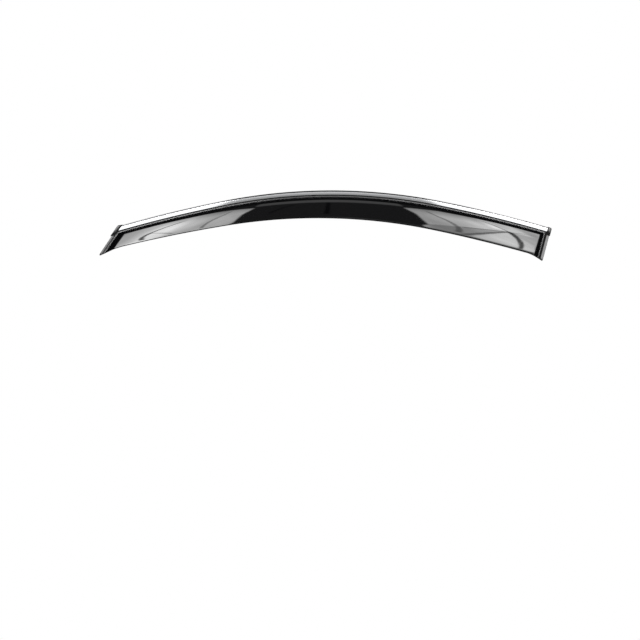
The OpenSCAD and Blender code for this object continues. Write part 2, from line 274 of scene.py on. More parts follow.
class Finish:
    """A material under construction, with its Principled shader."""

    def __init__(self, name, **constants):
        self.material = bpy.data.materials.new(name)
        self.material.use_nodes = True
        self.tree = self.material.node_tree
        self.shader = self.tree.nodes["Principled BSDF"]
        for socket, value in constants.items():
            self.shader.inputs[socket.replace("_", " ")].default_value = value

    def node(self, kind, settings=None, *values, output=0, by_index=None, **named):
        """A new node's output. The setting "stops" is for a colour ramp: (place, colour)."""
        made = self.tree.nodes.new(kind)
        for key, value in (settings or {}).items():
            if key == "stops":
                ramp = made.color_ramp.elements
                while len(ramp) < len(value):
                    ramp.new(0.5)
                for stop, (place, colour) in zip(ramp, value):
                    stop.position, stop.color = place, (*colour, 1)
            else:
                setattr(made, key, value)
        for inputs in (dict(enumerate(values)), by_index or {}, named):
            for key, value in inputs.items():
                self.feed(made.inputs[key], value)
        return Signal(self, made.outputs[output])

    def feed(self, socket, value):
        """Links a signal to a socket, or writes a constant into it."""
        if isinstance(value, Signal):
            self.tree.links.new(value.socket, socket)
        else:
            socket.default_value = value

    def give(self, socket, value):
        self.feed(self.shader.inputs[socket], value)

    def here(self, scale=(1, 1, 1)):
        """Object coordinates, stretched."""
        place = self.node("ShaderNodeTexCoord", output="Object")
        return self.node("ShaderNodeMapping", {"vector_type": "POINT"}, Vector=place,
                         Scale=scale)

    def noise(self, scale, detail, stretch=(1, 1, 1)):
        return self.node("ShaderNodeTexNoise", None, Vector=self.here(stretch), Scale=scale,
                         Detail=detail)

    def blend(self, share, first, second):
        """One colour turning into another. The Mix node's colours are its inputs 6 and 7."""
        return self.node("ShaderNodeMix", {"data_type": "RGBA"}, share, output=2,
                         by_index={6: (*first, 1), 7: (*second, 1)})

    def bump(self, height, distance):
        return self.node("ShaderNodeBump", None, Strength=1.0, Distance=distance,
                         Height=height)


# %% [markdown]
# ## Smoked acrylic
# The moulding is tinted dark and as glossy as its polished tool, so nearly all of its look is
# reflection. What keeps it from looking like plain black glass is small: long, shallow waves
# from the moulding, a little bloom in the gloss, and hairlines that wiping leaves. Two more
# finishes of the same plastic are for its bead, grained and with a grey painted highlight in
# its colour, and its grooves, matt black.


# %% The finishes of the moulding
ACRYLIC_IOR = 1.49


def smoked_acrylic():
    finish = Finish("smoked_acrylic", IOR=ACRYLIC_IOR)
    cloud = finish.noise(14, detail=3)
    tint = finish.blend(cloud, (0.0014, 0.0014, 0.0018), (0.0028, 0.0028, 0.0034))
    finish.give("Base Color", tint)
    hairlines = finish.noise(60, detail=4, stretch=(1.5, 40, 40)).above(0.62, 0.70)
    bloom = finish.noise(35, detail=2).above(0.45, 0.75)
    finish.give("Roughness", 0.02 + bloom * 0.012 + hairlines * 0.03)
    waves = finish.noise(11, detail=1, stretch=(0.5, 1, 1))
    ripple = finish.noise(70, detail=1)
    finish.give("Normal", finish.bump(waves * 0.9 + ripple * 0.05, distance=0.12 * mm))
    return finish.material


def grained_acrylic_painted_highlight():
    finish = Finish("grained_acrylic_painted_highlight", IOR=ACRYLIC_IOR)
    grain = finish.noise(1400, detail=2)
    patches = finish.noise(40, detail=2)
    # The bead's grey base colour, far lighter than the moulding's tint, is a painted highlight
    # that stands in for the light its rounded top catches. The grain, the patches and the
    # roughness are its real finish.
    finish.give("Base Color", finish.blend(patches, (0.066, 0.066, 0.067),
                                           (0.080, 0.080, 0.081)))
    finish.give("Roughness", 0.25 + patches * 0.06)
    finish.give("Normal", finish.bump(grain, distance=0.015 * mm))
    return finish.material


def matt_acrylic():
    finish = Finish("matt_acrylic", Specular_IOR_Level=0.15)
    dust = finish.noise(90, detail=3)
    finish.give("Base Color", finish.blend(dust, (0.002, 0.002, 0.002), (0.006, 0.006, 0.006)))
    finish.give("Roughness", 0.55 + dust * 0.15)
    return finish.material


ACRYLIC, GRAINED_PAINTED_HIGHLIGHT, MATT = smoked_acrylic(), grained_acrylic_painted_highlight(), matt_acrylic()

# %% [markdown]
# ## Bright metal
# The strip is bright steel, polished along its length. Fine lines run along it, and it is
# never perfectly flat, so its reflections wander a little.


# %% The finish of the bright strip
def polished_steel():
    finish = Finish("polished_steel", Metallic=1.0)
    lines = finish.noise(9, detail=5, stretch=(1, 260, 260))
    finish.give("Base Color", finish.blend(lines, (0.80, 0.81, 0.83), (0.90, 0.91, 0.92)))
    finish.give("Roughness", 0.05 + lines * 0.05)
    wander = finish.noise(18, detail=1, stretch=(0.6, 1, 1))
    finish.give("Normal", finish.bump(wander + lines * 0.02, distance=0.05 * mm))
    return finish.material


STEEL = polished_steel()

# %% [markdown]
# ## Satin caps, foam tape and release film
# The caps have a fine grain that softens their highlights. The tape is closed-cell acrylic
# foam, dull and slightly pitted on its cut edges. The film is thin and red, with faint stretch
# lines across it.


# %% The finish of the small pieces
def satin_plastic():
    finish = Finish("satin_plastic")
    grain = finish.noise(2600, detail=2)
    worn = finish.noise(160, detail=3).above(0.4, 0.8)
    finish.give("Base Color", finish.blend(worn, (0.003, 0.003, 0.003), (0.008, 0.008, 0.009)))
    finish.give("Roughness", 0.16 + grain * 0.08)
    finish.give("Normal", finish.bump(grain, distance=0.03 * mm))
    return finish.material


def foam():
    finish = Finish("acrylic_foam")
    cells = finish.node("ShaderNodeTexVoronoi", None, output="Distance",
                        Vector=finish.here(), Scale=2200.0)
    shade = finish.noise(120, detail=3)
    finish.give("Base Color", finish.blend(shade, (0.030, 0.031, 0.034), (0.060, 0.061, 0.065)))
    finish.give("Roughness", 0.78 + shade * 0.15)
    finish.give("Normal", finish.bump(cells, distance=0.08 * mm))
    return finish.material


def release_film():
    finish = Finish("liner_film", IOR=1.51)
    streaks = finish.noise(50, detail=4, stretch=(6, 1, 1))
    patches = finish.noise(25, detail=2)
    finish.give("Base Color", finish.blend(patches, (0.50, 0.020, 0.018), (0.66, 0.034, 0.026)))
    finish.give("Roughness", 0.22 + streaks * 0.16)
    finish.give("Normal", finish.bump(streaks + patches, distance=0.06 * mm))
    return finish.material


SATIN, FOAM, FILM = satin_plastic(), foam(), release_film()
print("Finishes:", [m.name for m in (ACRYLIC, GRAINED_PAINTED_HIGHLIGHT, MATT, STEEL, SATIN, FOAM, FILM)])

# %% [markdown]
# ## Where the moulding's section changes
# A station is a line across the flat pattern. At the ends the stations lie parallel to the
# raked end line, so beads and walls there stay straight, and in between they fan round. Only
# the rear wall leans a little from that line. The lower edge is a smooth curve through three
# depths, flared at both tips.


# %% Stations and the outline
def end_x(side):
    """Where an end line meets the top edge."""
    reach = FRONT_REACH if side == FRONT else REAR_REACH
    return side * (reach - TAPE_DROP * math.tan(RAKE[side]))


def station(side, d):
    """The line at distance d from an end, as (x at the top edge, x gained per s)."""
    return (end_x(side) - side * d / math.cos(RAKE[side]), side * math.tan(RAKE[side]))


def leaned(side, line, share):
    """The same line, turned about a point part way down by a share of its wall's lean."""
    lean = WALL_LEAN[side] * share
    return (line[0] - lean * LEAN_PIVOT, line[1] + lean)


def inset(side, line):
    """The distance of a line's upper end from an end."""
    return side * (end_x(side) - line[0]) * math.cos(RAKE[side])


TIP_X = end_x(FRONT) - DEPTH_FRONT * math.tan(RAKE[FRONT])


def depth_at(x):
    """The parabola through the depths at the front tip, the crest and the rear end."""
    return (DEPTH_MID * (1 - x / TIP_X) * (1 - x / REAR_REACH)
            + DEPTH_FRONT * x * (x - REAR_REACH) / (TIP_X * (TIP_X - REAR_REACH))
            + DEPTH_REAR * x * (x - TIP_X) / (REAR_REACH * (REAR_REACH - TIP_X)))


def corner_trim(radius, angle, d):
    """How much a rounded corner takes off a line at distance d from one of its sides."""
    if d >= radius * (1 + math.cos(angle)):
        return 0
    return (radius / math.tan(angle / 2) - math.sqrt(max(0, radius**2 - (d - radius)**2))
            - d / math.tan(angle))


def lower_s(line):
    """Where the lower edge, with its flares and rounded tips, crosses a line."""
    depth = depth_at(line[0] + line[1] * depth_at(line[0]))
    for side in SIDES:
        d, rake = inset(side, line), RAKE[side]
        flare_slope = FLARE_POWER * TIP_FLARE / FLARE_RUN
        tip_angle = math.atan2(math.cos(rake), math.sin(rake) + flare_slope)
        depth += TIP_FLARE * max(0, 1 - d / FLARE_RUN)**FLARE_POWER
        depth -= corner_trim(TIP_R, tip_angle, d) * math.cos(rake)
    return depth


def upper_s(line):
    """Where the top edge, with its rounded corners, crosses a line."""
    return sum(corner_trim(FLANGE_CORNER_R, math.pi / 2 + RAKE[side], inset(side, line))
               * math.cos(RAKE[side]) for side in SIDES)


# %% [markdown]
# ## The moulding's section
# Across the flat pattern the section is a path of short arcs: a hollow foot, a round crown
# and the long, slightly crowned blade. The back follows the same arcs, one wall thickness in.
# At the ends the same kind of path gives the share of that height which a station has.

# %% Arcs of the section
EDGE_STEPS, ARC_STEPS, CROWN_STEPS, BLADE_STEPS, RIM_STEPS = 4, 5, 12, 20, 8


def arc_point(centre, radius, slope):
    """The point of an arc where it slopes so much. A crown's radius counts as negative."""
    return (centre[0] + radius * math.sin(slope), centre[1] - radius * math.cos(slope))


def arc(centre, radius, start, end, steps, first=0):
    """Points of an arc from one slope to another, without the first ones if so told."""
    return [arc_point(centre, radius, start + (end - start) * i / steps)
            for i in range(first, steps + 1)]


corner_s = (FLANGE_H + SHOULDER_FOOT_R * math.tan(SHOULDER_ANGLE / 2)
            + SHOULDER_RISE / math.tan(SHOULDER_ANGLE))
crown_run = SHOULDER_CROWN_R * math.tan((SHOULDER_ANGLE - BLADE_SLOPE) / 2)
blade_start = (corner_s + crown_run * math.cos(BLADE_SLOPE),
               BEAD_H + SHOULDER_RISE + crown_run * math.sin(BLADE_SLOPE))
CROWN_C = arc_point(blade_start, SHOULDER_CROWN_R, BLADE_SLOPE)
BLADE_C = arc_point(blade_start, BLADE_CROWN_R, BLADE_SLOPE)
END_RISE = BLADE_C[1] + BLADE_CROWN_R * math.cos(BLADE_SLOPE / 2) - BEAD_H
END_CROWN_C = {side: (
    END_FLANGE_W[side] + END_RISE / math.tan(END_ANGLE[side])
    + (END_FOOT_R + END_CROWN_R) * math.tan(END_ANGLE[side] / 2), END_RISE - END_CROWN_R)
    for side in SIDES}


def section(foot_c, off, slope):
    """Foot, crown and blade as (s, level over the channel floor), at an offset behind."""
    return (arc(foot_c, SHOULDER_FOOT_R + off, 0, SHOULDER_ANGLE, ARC_STEPS)
            + arc(CROWN_C, off - SHOULDER_CROWN_R, SHOULDER_ANGLE, BLADE_SLOPE, CROWN_STEPS)
            + arc(BLADE_C, off - BLADE_CROWN_R, BLADE_SLOPE, slope, BLADE_STEPS, 1))


def wall_path(side, foot_d, off, lift):
    """An end wall as (d, share of the blade's height), at an offset behind its face."""
    foot_r, crown_r = END_FOOT_R + off, off - END_CROWN_R
    crown_d, crown_level = END_CROWN_C[side]
    path = (arc((foot_d, foot_r), foot_r, 0, END_ANGLE[side], ARC_STEPS)
            + arc((crown_d, crown_level + lift), crown_r, END_ANGLE[side], 0, CROWN_STEPS))
    height = crown_level + lift - crown_r
    return [(d, level / height) for d, level in path]


def face_wall(side):
    """The outer face of an end wall."""
    return wall_path(side, END_FLANGE_W[side], 0, 0)


def back_wall(side):
    """Its back, one wall thickness behind and standing on the back of the flange."""
    foot_d = END_FLANGE_W[side] - BEAD_H / math.tan(END_ANGLE[side])
    return wall_path(side, foot_d, WALL, BEAD_H + WALL)


# %% [markdown]
# ## Columns along the moulding
# Each column holds the station of its face and of its back, the level of land, groove or bead
# it passes, how much of the blade's height its face and its back have, and how far a tilted
# land drops there. Columns are close together where the form turns and 3 mm apart along the
# middle, so that reflections run smoothly.

# %% The columns
ALONG_STEPS = 320


def edge_drop(side, d):
    """How far the tilted land and its rounded edge lie below the face at a distance d."""
    share = max(0, 1 - d / LAND_W[side])
    rounded = EDGE_R - math.sqrt(EDGE_R**2 - (EDGE_R - d)**2) if d < EDGE_R else 0
    return rounded + LAND_TILT * share + LAND_CROWN * share**2


def end_zone(side):
    """The columns of one end, from its edge over land, groove, bead and wall."""
    levels = [(FLANGE_CORNER_R * (1 - math.cos(math.pi / 2 * i / CROWN_STEPS)), LAND_H)
              for i in range(CROWN_STEPS + 1)]
    land_end, bead_start = LAND_W[side], END_BEAD_D[side]
    levels += [(land_end - DRAFT, LAND_H), (land_end, LAND_H - DRAFT), (land_end + DRAFT, 0),
               (bead_start, 0), (bead_start + DRAFT, BEAD_H - BEAD_BREAK),
               (bead_start + BEAD_BREAK / 2, BEAD_H - BEAD_BREAK / 4),
               (bead_start + BEAD_BREAK, BEAD_H)]
    flange = [(station(side, d), station(side, d), level, 0, 0, edge_drop(side, d))
              for d, level in levels]
    wall = [(leaned(side, station(side, face[0]), face[1]),
             leaned(side, station(side, back[0]), back[1]), BEAD_H, face[1], back[1], 0)
            for face, back in zip(face_wall(side), back_wall(side))]
    return flange + wall


first_line, last_line = (leaned(side, station(side, END_CROWN_C[side][0]), 1)
                         for side in SIDES)
middle = []
for i in range(1, ALONG_STEPS):
    share = i / ALONG_STEPS
    line = tuple(a + (b - a) * share for a, b in zip(first_line, last_line))
    middle.append((line, line, BEAD_H, 1, 1, 0))
COLUMNS = end_zone(FRONT) + middle + end_zone(REAR)[::-1]
print(len(COLUMNS), "columns")

# %% [markdown]
# ## One closed section
# The points of a column run down the face, round the rim and up the back. The lip's top edge
# is round, the bead has broken corners and a slightly tilted top, and the rim is rounded on
# both sides, in front by a long quarter of an ellipse.


# %% The ring of one column
def rim(corner, slope, radius, into, stretch=1):
    """A quarter of an ellipse: radius deep and stretch times as long."""
    along = (stretch * math.cos(slope), stretch * math.sin(slope))
    up = (-math.sin(slope) * into, math.cos(slope) * into)
    centre = [c - radius * (a + u) for c, a, u in zip(corner, along, up)]
    return [tuple(c + radius * (u * math.cos(t) + a * math.sin(t))
                  for c, u, a in zip(centre, up, along))
            for t in (math.pi / 2 * i / RIM_STEPS for i in range(RIM_STEPS + 1))]


def ring(column):
    """The flat points (x, y up, z outwards) of one closed section."""
    face_line, back_line, level, face_share, back_share, drop = column
    base = FLOOR_P - drop
    top = upper_s(face_line)

    def squeeze(s):
        """Fits the flange between a lowered top edge and its foot."""
        return top + s * (FLANGE_H - top) / FLANGE_H

    face = []
    for i in range(EDGE_STEPS + 1):
        t = math.pi / 2 * i / EDGE_STEPS
        face.append((squeeze(EDGE_R * (1 - math.cos(t))),
                     base + LIP_H - EDGE_R * (1 - math.sin(t))))
    face += [(squeeze(LIP_W - DRAFT), base + LIP_H), (squeeze(LIP_W), base + LIP_H - DRAFT),
             (squeeze(LIP_W + DRAFT), base), (squeeze(BEAD_S), base),
             (squeeze(BEAD_S + DRAFT), base + level * (1 - BEAD_BREAK / BEAD_H)),
             (squeeze(BEAD_S + BEAD_BREAK / 2), base + level * BEAD_EASE),
             (squeeze(BEAD_S + BEAD_BREAK), base + level)]
    face[-3:] = [(s, p - level * BEAD_TILT / BEAD_H) for s, p in face[-3:]]

    slope = math.asin((BLADE_C[0] - lower_s(face_line)) / BLADE_CROWN_R)
    path = section((FLANGE_H, BEAD_H + SHOULDER_FOOT_R), 0, slope)
    path = [(s, base + level + (q - BEAD_H) * face_share) for s, q in path]
    face += path[:-1] + rim(path[-1], slope * face_share, WALL * RIM_SHARE, 1, RIM_STRETCH)

    slope = math.asin((BLADE_C[0] - lower_s(back_line)) / BLADE_CROWN_R)
    foot_c = (FLANGE_H - BEAD_H / math.tan(SHOULDER_ANGLE), SHOULDER_FOOT_R)
    path = [(s, TAPE_T + (q + WALL) * back_share) for s, q in section(foot_c, WALL, slope)]
    back_radius = WALL * (RIM_BOTH - RIM_SHARE)
    back = ([(top, TAPE_T)] + path[:-1]
            + rim(path[-1], slope * back_share, back_radius, -1)[::-1])

    points = [(face_line, s, p) for s, p in face] + [(back_line, s, p) for s, p in back[::-1]]
    return [(line[0] + line[1] * s, TAPE_DROP - s, p) for line, s, p in points]


# %% [markdown]
# ## The moulding itself
# A bead that runs at 51 degrees to the blade can't be extruded or cut with straight rows, so
# this piece starts as a grid primitive that is wrapped round the section like a sleeve: its
# rows are laid on the rings, its seam is merged, and both open ends are filled. Recalculating
# normals can guess wrong on such a thin shell, so the sign of the volume has the last word.


# %% Wrapping a grid round the rings
def sleeve(name, rings):
    """One closed piece from a row of rings with the same number of points."""
    rows = len(rings[0])
    bpy.ops.object.select_all(action="DESELECT")
    bpy.ops.mesh.primitive_grid_add(x_subdivisions=rows, y_subdivisions=len(rings) - 1, size=1)
    piece = bpy.context.object
    piece.name = name
    laid = [ring_points + ring_points[:1] for ring_points in rings]
    piece.data.vertices.foreach_set("co", np.array(laid, dtype=np.float32).ravel())
    bpy.ops.object.mode_set(mode="EDIT")
    bpy.ops.mesh.select_all(action="SELECT")
    bpy.ops.mesh.remove_doubles(threshold=0.002 * mm)
    choose(piece, "edges", lambda edge: edge.is_boundary)
    bpy.ops.mesh.fill_holes(sides=0)
    bpy.ops.mesh.select_all(action="SELECT")
    bpy.ops.mesh.normals_make_consistent(inside=False)
    if bmesh.from_edit_mesh(piece.data).calc_volume(signed=True) < 0:
        bpy.ops.mesh.flip_normals()
    bpy.ops.object.mode_set(mode="OBJECT")
    return piece


visor = sleeve("visor_moulding", [ring(column) for column in COLUMNS])
for material in (ACRYLIC, GRAINED_PAINTED_HIGHLIGHT, MATT):
    visor.data.materials.append(material)

# %% [markdown]
# ## Grained bead and matt grooves
# Only the blade, the walls and the lands are polished. The bead is lightly grained, and its soft
# grey look is a painted highlight in its colour. The floors of the long groove and of the rear
# one are left matt.


# %% Faces with another finish
LEVEL_ENOUGH, NEAR_FLOOR = 0.9, 0.1 * mm


def kind_of(face):
    """Which finish a face of the flat moulding has: bead, groove or gloss."""
    spot = face.calc_center_median()
    if face.normal.z < LEVEL_ENOUGH or spot.z < FLOOR_P - NEAR_FLOOR:
        return "gloss"
    s = TAPE_DROP - spot.y
    d = {side: side * (end_x(side) + side * math.tan(RAKE[side]) * s - spot.x)
         * math.cos(RAKE[side]) for side in SIDES}
    on_floor = spot.z < FLOOR_P + NEAR_FLOOR
    if LIP_W < s < BEAD_S:
        return "groove" if on_floor else "gloss"
    if s < BEAD_S or any(d[side] < LAND_W[side] for side in d):
        return "gloss"
    if on_floor:
        return "groove" if d[REAR] < END_BEAD_D[REAR] else "gloss"
    near_end = any(d[side] < END_FLANGE_W[side] for side in d)
    return "bead" if s < FLANGE_H or near_end else "gloss"


pick(visor)
bpy.ops.object.mode_set(mode="EDIT")
for index, kind in ((1, "bead"), (2, "groove")):
    print(kind, "faces:", choose(visor, "faces", lambda face: kind_of(face) == kind))
    visor.active_material_index = index
    bpy.ops.object.material_slot_assign()
bpy.ops.object.mode_set(mode="OBJECT")

bend_onto_door(visor)
smooth(visor)
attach(visor, "root")
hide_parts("visor")
print("Moulding:", len(visor.data.polygons), "faces")

# %% [markdown]
# ## The bright strip
# A roll former turns both edges of a flat strip down and crowns its face. By hand: one long
# row of edges is spun about the crown's axis to make the face, its two long sides are extruded
# down, the corners are bevelled, and Solidify gives the metal its thickness. The raked ends
# are cut with bisect, and then the strip is bent like the moulding. The bevel has one facet at
# 45 degrees, which mirrors the dark. A second, flatter facet would mirror the light panels and
# throw a bright line into the shoulder below.


# %% Straight lines and raked cuts
def row_of_edges(name, x1, x2, y, z, steps):
    """One straight line of edges, from a grid primitive with its far side deleted."""
    bpy.ops.object.select_all(action="DESELECT")
    bpy.ops.mesh.primitive_grid_add(x_subdivisions=steps, y_subdivisions=1, size=1)
    piece = bpy.context.object
    piece.name = name
    bpy.ops.object.mode_set(mode="EDIT")
    choose(piece, "verts", lambda vert: vert.co.y > 0)
    bpy.ops.mesh.delete(type="VERT")
    bpy.ops.mesh.select_all(action="SELECT")
    bpy.ops.transform.resize(value=(x2 - x1, 1, 1))
    bpy.ops.transform.translate(value=((x1 + x2) / 2, y + 0.5, z))
    return piece


def cut_end(side, d):
    """In edit mode, cuts off what lies beyond a line at distance d from a raked end."""
    outward = (side * math.cos(RAKE[side]), math.sin(RAKE[side]), 0)
    bpy.ops.mesh.select_all(action="SELECT")
    bpy.ops.mesh.bisect(plane_co=(station(side, d)[0], TAPE_DROP, 0), plane_no=outward,
                        clear_outer=True, use_fill=True)


# %% The strip's face, edges and thickness
STRIP_STEPS, CROWN_ROWS, SHARP_TURN = 330, 16, 0.5
strip_edge_r = STRIP_BEND_R + STRIP_T
strip_half = STRIP_W / 2 - strip_edge_r
strip_rise = STRIP_CROWN + strip_edge_r
strip_face_r = (strip_half**2 + strip_rise**2 - strip_edge_r**2) / (2 * STRIP_CROWN)
strip_mid_y = TAPE_DROP - (STRIP_S + STRIP_W / 2)
strip_axis_z = FLOOR_P + STRIP_TOP - strip_face_r
half_angle = math.asin((STRIP_W / 2) / strip_face_r)
face_side_z = strip_axis_z + strip_face_r * math.cos(half_angle)
overlong = (end_x(FRONT) - OVERRUN, end_x(REAR) + OVERRUN)

strip = row_of_edges("bright_strip_metal", *overlong, strip_mid_y - STRIP_W / 2, face_side_z,
                     STRIP_STEPS)
bpy.ops.mesh.spin(steps=CROWN_ROWS, angle=2 * half_angle,
                  center=(0, strip_mid_y, strip_axis_z), axis=(1, 0, 0))
choose(strip, "edges", lambda edge: edge.is_boundary
       and abs(edge.verts[0].co.y - edge.verts[1].co.y) < 0.01 * mm)
bpy.ops.mesh.extrude_region_move(TRANSFORM_OT_translate={
    "value": (0, 0, FLOOR_P + BOND_GAP - face_side_z)})
choose(strip, "edges", lambda edge: len(edge.link_faces) == 2
       and abs(edge.calc_face_angle(0)) > SHARP_TURN)
bpy.ops.mesh.bevel(offset=STRIP_BREAK, segments=1)
bpy.ops.mesh.select_all(action="SELECT")
bpy.ops.mesh.normals_make_consistent(inside=False)
bpy.ops.object.mode_set(mode="OBJECT")
apply_modifier(strip, "SOLIDIFY", thickness=STRIP_T, offset=-1, use_even_offset=True)
bpy.ops.object.mode_set(mode="EDIT")
for side in SIDES:
    cut_end(side, CAP_W - CAP_GRIP)
bpy.ops.object.mode_set(mode="OBJECT")
bend_onto_door(strip)
smooth(strip, math.radians(20))
strip.data.materials.append(STEEL)
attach(strip, "root")
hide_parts("bright_strip")
print("Strip:", len(strip.data.polygons), "faces")

# %% [markdown]
# ## Tapes and their liners
# Each tape is a die-cut band: a cube primitive squeezed flat, divided along its length so that
# it can follow the arch, and cut off along the raked ends. The same few lines make the foam
# under the strip, the mounting tapes and the release films, which are wider and run past them.
# Each kind is a row: levels, widening, tail, finish and slot.


# %% Bands
TAPE_STEPS, END_TAPE_STEPS = 100, 12


def band(name, ends, y, width, levels, steps, material):
    """A flat band along x, between two levels outwards from the door."""
    bpy.ops.object.select_all(action="DESELECT")
    bpy.ops.mesh.primitive_cube_add(size=1)
    piece = bpy.context.object
    piece.name = name
    bpy.ops.object.mode_set(mode="EDIT")
    bpy.ops.mesh.select_all(action="SELECT")
    bpy.ops.transform.resize(value=(ends[1] - ends[0], width, levels[1] - levels[0]))
    bpy.ops.transform.translate(value=(sum(ends) / 2, y, sum(levels) / 2))
    choose(piece, "edges", lambda edge: abs(edge.verts[0].co.x - edge.verts[1].co.x) > mm)
    bpy.ops.mesh.subdivide(number_cuts=steps - 1)
    bpy.ops.object.mode_set(mode="OBJECT")
    piece.data.materials.append(material)
    return piece


def finish_band(piece, node):
    """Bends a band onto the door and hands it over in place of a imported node."""
    bend_onto_door(piece)
    smooth(piece)
    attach(piece, "root")
    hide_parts(node)
    print(piece.name, len(piece.data.polygons), "faces")


TAPE = ((0, TAPE_T - BOND_GAP), 0, 0, FOAM, "foam_tape")
LINER = ((-BOND_GAP - LINER_T, -BOND_GAP), LINER_OVERHANG, LINER_TAIL, FILM, "release_film")

# %% Top tape and top liner
for word, node, (levels, widen, tail, material, slot) in (
        ("foam_tape", "top_tape", TAPE), ("release_film", "top_liner", LINER)):
    piece = band(f"top_{word}", overlong, 0, TAPE_W + 2 * widen, levels, TAPE_STEPS, material)
    bpy.ops.object.mode_set(mode="EDIT")
    for side in SIDES:
        cut_end(side, TAPE_MARGIN - tail)
    bpy.ops.object.mode_set(mode="OBJECT")
    finish_band(piece, node)

# %% [markdown]
# ## The short tapes down both ends
# These lie along the raked ends and are cut square. Each is made lying level, turned by the
# rake and moved to its end before it is bent.

# %% End tapes and end liners
for side, end_word in ((FRONT, "front"), (REAR, "rear")):
    lean = RAKE[side]
    inner = TAPE_MARGIN + END_TAPE_W
    start = ((TAPE_DROP + TAPE_W / 2 + TAPE_BREAK - TAPE_MARGIN * math.sin(lean))
             / math.cos(lean))
    end = ((lower_s(station(side, inner)) - inner * math.sin(lean)) / math.cos(lean)
           - TAPE_MARGIN)
    for word, node, (levels, widen, tail, material, slot) in (
            ("foam_tape", "tape", TAPE), ("release_film", "liner", LINER)):
        piece = band(f"{end_word}_{word}", (start, end + tail),
                     -side * (TAPE_MARGIN + END_TAPE_W / 2), END_TAPE_W + 2 * widen, levels,
                     END_TAPE_STEPS, material)
        piece.rotation_euler = (0, 0, side * lean - math.pi / 2)
        piece.location = (end_x(side), TAPE_DROP, 0)
        finish_band(piece, f"{end_word}_end_{node}")

# %% [markdown]
# ## The foam under the strip
# A thick bead of acrylic foam fills the strip and bonds it into its channel. It fills the
# strip's hollow, so its top is crowned like the strip: the band's upper face is divided
# lengthwise and its middle rows are raised.

# %% Strip foam
FOAM_CUTS = 7
foam_top = strip_face_r - STRIP_T - BOND_GAP
foam_half = STRIP_W / 2 - STRIP_T - BOND_GAP
foam_levels = (FLOOR_P + BOND_GAP, strip_axis_z + math.sqrt(foam_top**2 - foam_half**2))
foam_band = band("strip_foam_tape", overlong, strip_mid_y, 2 * foam_half, foam_levels,
                 TAPE_STEPS, FOAM)
bpy.ops.object.mode_set(mode="EDIT")
choose(foam_band, "edges", lambda edge: abs(edge.verts[0].co.y - edge.verts[1].co.y) > mm)
bpy.ops.mesh.subdivide(number_cuts=FOAM_CUTS)
for vert in bmesh.from_edit_mesh(foam_band.data).verts:
    if vert.co.z > sum(foam_levels) / 2:
        vert.co.z = strip_axis_z + math.sqrt(foam_top**2 - (vert.co.y - strip_mid_y)**2)
bmesh.update_edit_mesh(foam_band.data)
for side in SIDES:
    cut_end(side, CAP_W - CAP_GRIP + mm)
bpy.ops.object.mode_set(mode="OBJECT")
finish_band(foam_band, "strip_tape")

# %% [markdown]
# ## The end caps
# Each cap is a small moulding that hooks over the corner of the flange, and the strip runs
# into its mouth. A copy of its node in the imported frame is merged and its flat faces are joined
# up again. Its outer half is then moved out across the end, and its inner edge slides along
# the top edge, so that it stays clear of the flange. Its face is split half way down and pushed
# out there, and its edges are rounded by a bevel.


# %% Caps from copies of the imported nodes
INNER_EDGE, ON_SPLIT, NEAR_FACE = 1.5 * mm, 0.05 * mm, 0.6 * mm
FLAT_WITHIN, BREAK_ABOVE = math.radians(4), math.radians(25)


def end_frame(side):
    """At one end of the bent part: outwards across it, down along it, and the slide along
    the top edge that gains one outwards."""
    along = arch_point(end_x(side))[1]
    lean = RAKE[side]
    up = Vector((-along.y, along.x, 0))
    outward = along * side * math.cos(lean) + up * math.sin(lean)
    down = along * side * math.sin(lean) - up * math.cos(lean)
    return [Vector((v.x, -v.y * math.sin(BOW_TILT), v.y * math.cos(BOW_TILT)))
            for v in (outward, down, along * side / math.cos(lean))]


def finished_cap(node, name, side, stretch, crown):
    """Stretch is how far the outer half moves out and the inner edge inwards."""
    source = bpy.data.objects[node]
    piece = source.copy()
    piece.data = source.data.copy()
    piece.name = name
    bpy.context.collection.objects.link(piece)
    outward, down, slide = end_frame(side)
    pick(piece)
    bpy.ops.object.mode_set(mode="EDIT")
    bpy.ops.mesh.select_all(action="SELECT")
    bpy.ops.mesh.remove_doubles(threshold=0.005 * mm)
    bpy.ops.mesh.dissolve_limited(angle_limit=FLAT_WITHIN)
    corners = [vert.co for vert in bmesh.from_edit_mesh(piece.data).verts]
    centre = Vector([(min(v[i] for v in corners) + max(v[i] for v in corners)) / 2
                     for i in range(3)])
    choose(piece, "verts", lambda vert: (vert.co - centre).dot(outward) > 0)
    bpy.ops.transform.translate(value=outward * stretch[0])
    choose(piece, "verts", lambda vert: (vert.co - centre).dot(outward) < -INNER_EDGE)
    bpy.ops.transform.translate(value=-slide * stretch[1])
    face_y = min(v.y for v in corners)
    bpy.ops.mesh.select_all(action="SELECT")
    bpy.ops.mesh.bisect(plane_co=centre, plane_no=down)
    choose(piece, "verts", lambda vert: abs((vert.co - centre).dot(down)) < ON_SPLIT
           and vert.co.y < face_y + NEAR_FACE)
    bpy.ops.transform.translate(value=(0, -crown, 0))
    bpy.ops.object.mode_set(mode="OBJECT")
    apply_modifier(piece, "BEVEL", width=CAP_BREAK, segments=3, limit_method="ANGLE",
                   angle_limit=BREAK_ABOVE)
    smooth(piece)
    piece.data.materials.clear()
    piece.data.materials.append(SATIN)
    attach(piece, "root")
    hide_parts(node)
    print(name, len(piece.data.polygons), "faces")


finished_cap("front_end_cap", "front_cap", FRONT, (1.4 * mm, 0.5 * mm), 0.35 * mm)
finished_cap("rear_end_cap", "rear_cap", REAR, (0.3 * mm, 2.7 * mm), 0.6 * mm)

# %% [markdown]
# ## The camera
# The photograph was taken square to the car's side with a long lens, so one row of pixels is a
# level line. At 4.69 m a 120 mm lens sees 1.41 m.

